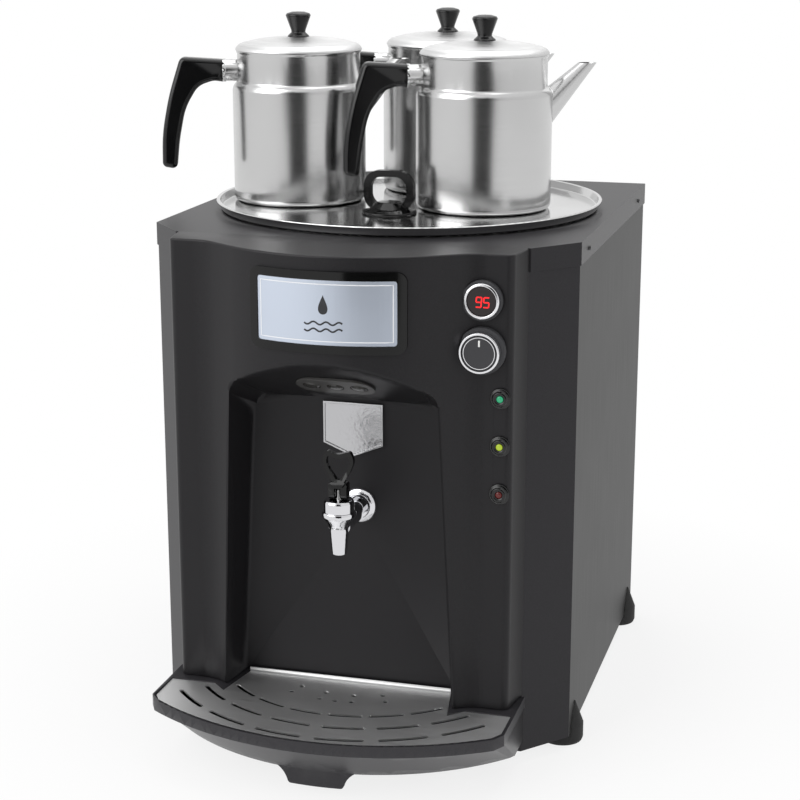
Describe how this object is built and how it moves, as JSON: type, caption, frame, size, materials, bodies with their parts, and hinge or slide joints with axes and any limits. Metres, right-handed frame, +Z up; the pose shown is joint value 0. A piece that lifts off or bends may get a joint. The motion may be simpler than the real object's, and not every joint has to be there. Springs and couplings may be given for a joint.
{
  "type": "hot water urn",
  "caption": "Counter-top hot water urn with a sprung tap in a cup niche, drip tray, thermostat and lamps, and a round steam plate with teapots.",
  "frame": {"origin": "on the counter, midway between the four feet, under the middle of the cabinet's side panels", "axes": "+Z up, front with the tap toward -Y, +X to the right as seen from the front"},
  "size_m": [0.4527, 0.5795, 0.671],
  "materials": {
    "zinc_sheet": "satin",
    "stainless": "brushed",
    "grey_paint": "satin",
    "screw_steel": "polished",
    "grey_plastic": "satin",
    "gloss_black": "gloss",
    "sign_silver": "bright satin",
    "chrome": "polished",
    "lamp_grey": "satin",
    "clear_lens": "clear",
    "chrome_trim": "polished",
    "black_plastic": "matte",
    "dark_window": "gloss",
    "zinc_steel": "plated",
    "black_trim": "gloss",
    "green_lens": "gloss",
    "amber_lens": "gloss",
    "red_lens": "gloss",
    "tank_steel": "satin",
    "insulation": "felt",
    "element_steel": "satin",
    "brass_nuts": "machined",
    "silicone": "matte",
    "terminal_white": "matte",
    "spring_steel": "bright",
    "rubber_black": "matte",
    "stem_steel": "turned",
    "grille_steel": "satin",
    "plate_steel": "satin",
    "pot_steel": "satin",
    "handle_black": "gloss"
  },
  "bodies": {
    "cabinet": {"base_pan": "zinc_sheet", "front_chassis": "grey_paint", "side_panel_left": "stainless", "side_panel_right": "stainless", "back_panel": "zinc_sheet", "top_cover": "grey_paint", "screws": "screw_steel", "front_panel": "grey_plastic", "sign_frame": "gloss_black", "sign_plate": "sign_silver", "badge": "chrome", "niche_lamp_housing": "lamp_grey", "niche_lamp_lenses": "clear_lens", "thermometer_bezel": "chrome_trim", "thermometer_module": "black_plastic", "thermometer_window": "dark_window", "thermostat": "zinc_steel", "knob_escutcheon": "black_plastic", "pilot_bezels": "black_trim", "pilot_lens_green": "green_lens", "pilot_lens_amber": "amber_lens", "pilot_lens_red": "red_lens", "water_tank": "tank_steel", "tank_jacket": "insulation", "tank_stand": "zinc_sheet", "heating_element": "element_steel", "nuts": "brass_nuts", "seals": "silicone", "dry_run_cutout": "black_plastic", "terminal_block": "terminal_white", "cable_gland": "black_plastic", "tap_shank": "chrome", "tap_flange": "chrome", "tap_body": "chrome", "tap_bonnet": "chrome", "tap_spring": "spring_steel", "feet": "rubber_black", "tray_rails": "zinc_sheet"},
    "knob": {"knob": "black_plastic", "knob_ring": "chrome_trim"},
    "tap_stem": {"tap_stem": "stem_steel", "seat_cup": "silicone", "lever_pin": "stem_steel"},
    "tap_lever": {"tap_lever": "gloss_black"},
    "drip_tray": {"drip_tray": "grey_plastic"},
    "drip_grille": {"drip_grille": "grille_steel"},
    "top_plate": {"top_plate": "plate_steel"},
    "fill_plug": {"fill_plug": "gloss_black"},
    "teapot_left": {"teapot_left_body": "pot_steel", "teapot_left_handle": "handle_black"},
    "lid_left": {"teapot_left_lid": "pot_steel", "teapot_left_knob": "handle_black"},
    "teapot_right": {"teapot_right_body": "pot_steel", "teapot_right_handle": "handle_black"},
    "lid_right": {"teapot_right_lid": "pot_steel", "teapot_right_knob": "handle_black"},
    "teapot_rear": {"teapot_rear_body": "pot_steel", "teapot_rear_handle": "handle_black"},
    "lid_rear": {"teapot_rear_lid": "pot_steel", "teapot_rear_knob": "handle_black"}
  },
  "joints": [
    {"name": "knob_turn", "type": "hinge", "parent": "cabinet", "child": "knob", "pos_m": [0.131, -0.265, 0.401], "axis": [0, 1, 0], "range_deg": [0, 270]},
    {"name": "stem_lift", "type": "slide", "parent": "cabinet", "child": "tap_stem", "axis": [0, 0, 1], "range_m": [0, 0.0025], "stiffness_N_per_m": 300, "springref_m": -0.004, "deforming": ["tap_spring"]},
    {"name": "lever_tilt", "type": "hinge", "parent": "tap_stem", "child": "tap_lever", "pos_m": [0.01, -0.296, 0.271], "axis": [1, 0, 0], "range_deg": [0, 25]},
    {"name": "tray_slide", "type": "slide", "parent": "cabinet", "child": "drip_tray", "axis": [0, -1, 0], "range_m": [0, 0.1]},
    {"name": "grille_lift", "type": "slide", "parent": "drip_tray", "child": "drip_grille", "axis": [0, 0, 1], "range_m": [0, 0.015]},
    {"name": "plate_lift", "type": "slide", "parent": "cabinet", "child": "top_plate", "axis": [0, 0, 1], "range_m": [0, 0.1]},
    {"name": "plug_lift", "type": "slide", "parent": "top_plate", "child": "fill_plug", "axis": [0, 0, 1], "range_m": [0, 0.04]},
    {"name": "teapot_left_lift", "type": "slide", "parent": "top_plate", "child": "teapot_left", "axis": [0, 0, 1], "range_m": [0, 0.12]},
    {"name": "lid_left_lift", "type": "slide", "parent": "teapot_left", "child": "lid_left", "axis": [0, 0, 1], "range_m": [0, 0.08]},
    {"name": "teapot_right_lift", "type": "slide", "parent": "top_plate", "child": "teapot_right", "axis": [0, 0, 1], "range_m": [0, 0.12]},
    {"name": "lid_right_lift", "type": "slide", "parent": "teapot_right", "child": "lid_right", "axis": [0, 0, 1], "range_m": [0, 0.08]},
    {"name": "teapot_rear_lift", "type": "slide", "parent": "top_plate", "child": "teapot_rear", "axis": [0, 0, 1], "range_m": [0, 0.12]},
    {"name": "lid_rear_lift", "type": "slide", "parent": "teapot_rear", "child": "lid_rear", "axis": [0, 0, 1], "range_m": [0, 0.08]}
  ],
  "couplings": [
    {"joint": "lever_tilt", "follows": "stem_lift", "rad_per_m": 174.5}
  ]
}
